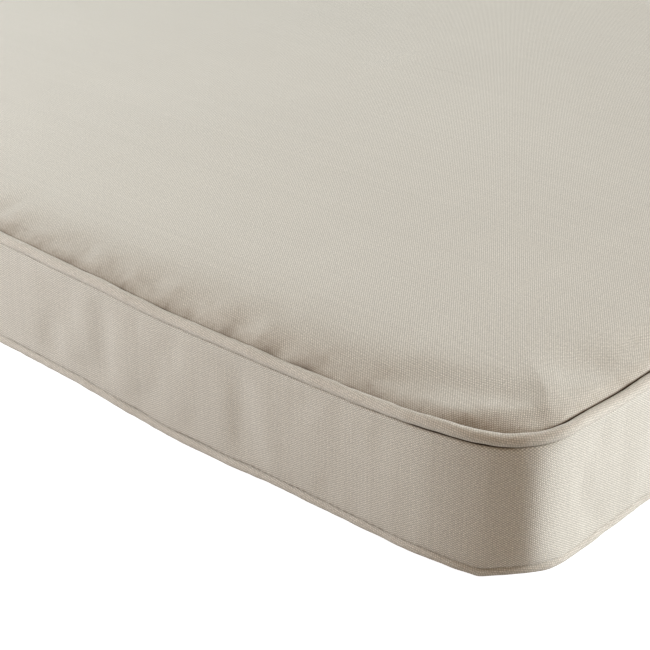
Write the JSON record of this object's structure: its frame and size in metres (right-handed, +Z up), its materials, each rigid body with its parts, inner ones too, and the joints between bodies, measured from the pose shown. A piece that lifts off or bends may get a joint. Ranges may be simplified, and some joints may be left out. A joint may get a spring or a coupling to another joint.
{
  "type": "sun lounger cushion",
  "caption": "Long flat box cushion for a sun lounger: crowned canvas panels, a side band with rounded corners and a covered welt in each seam.",
  "frame": {"origin": "on the surface that the cushion rests on, under the middle of its box", "axes": "X across the cushion, Y along it towards the far end, Z up out of its top panel"},
  "size_m": [0.6548, 1.9546, 0.0695],
  "materials": {
    "canvas": "matt plain-woven outdoor canvas, greige",
    "welt_canvas": "the same canvas, drawn tight over a cord"
  },
  "bodies": {
    "root": {"cushion_body": "canvas", "welt_upper": "welt_canvas", "welt_lower": "welt_canvas"}
  },
  "joints": []
}
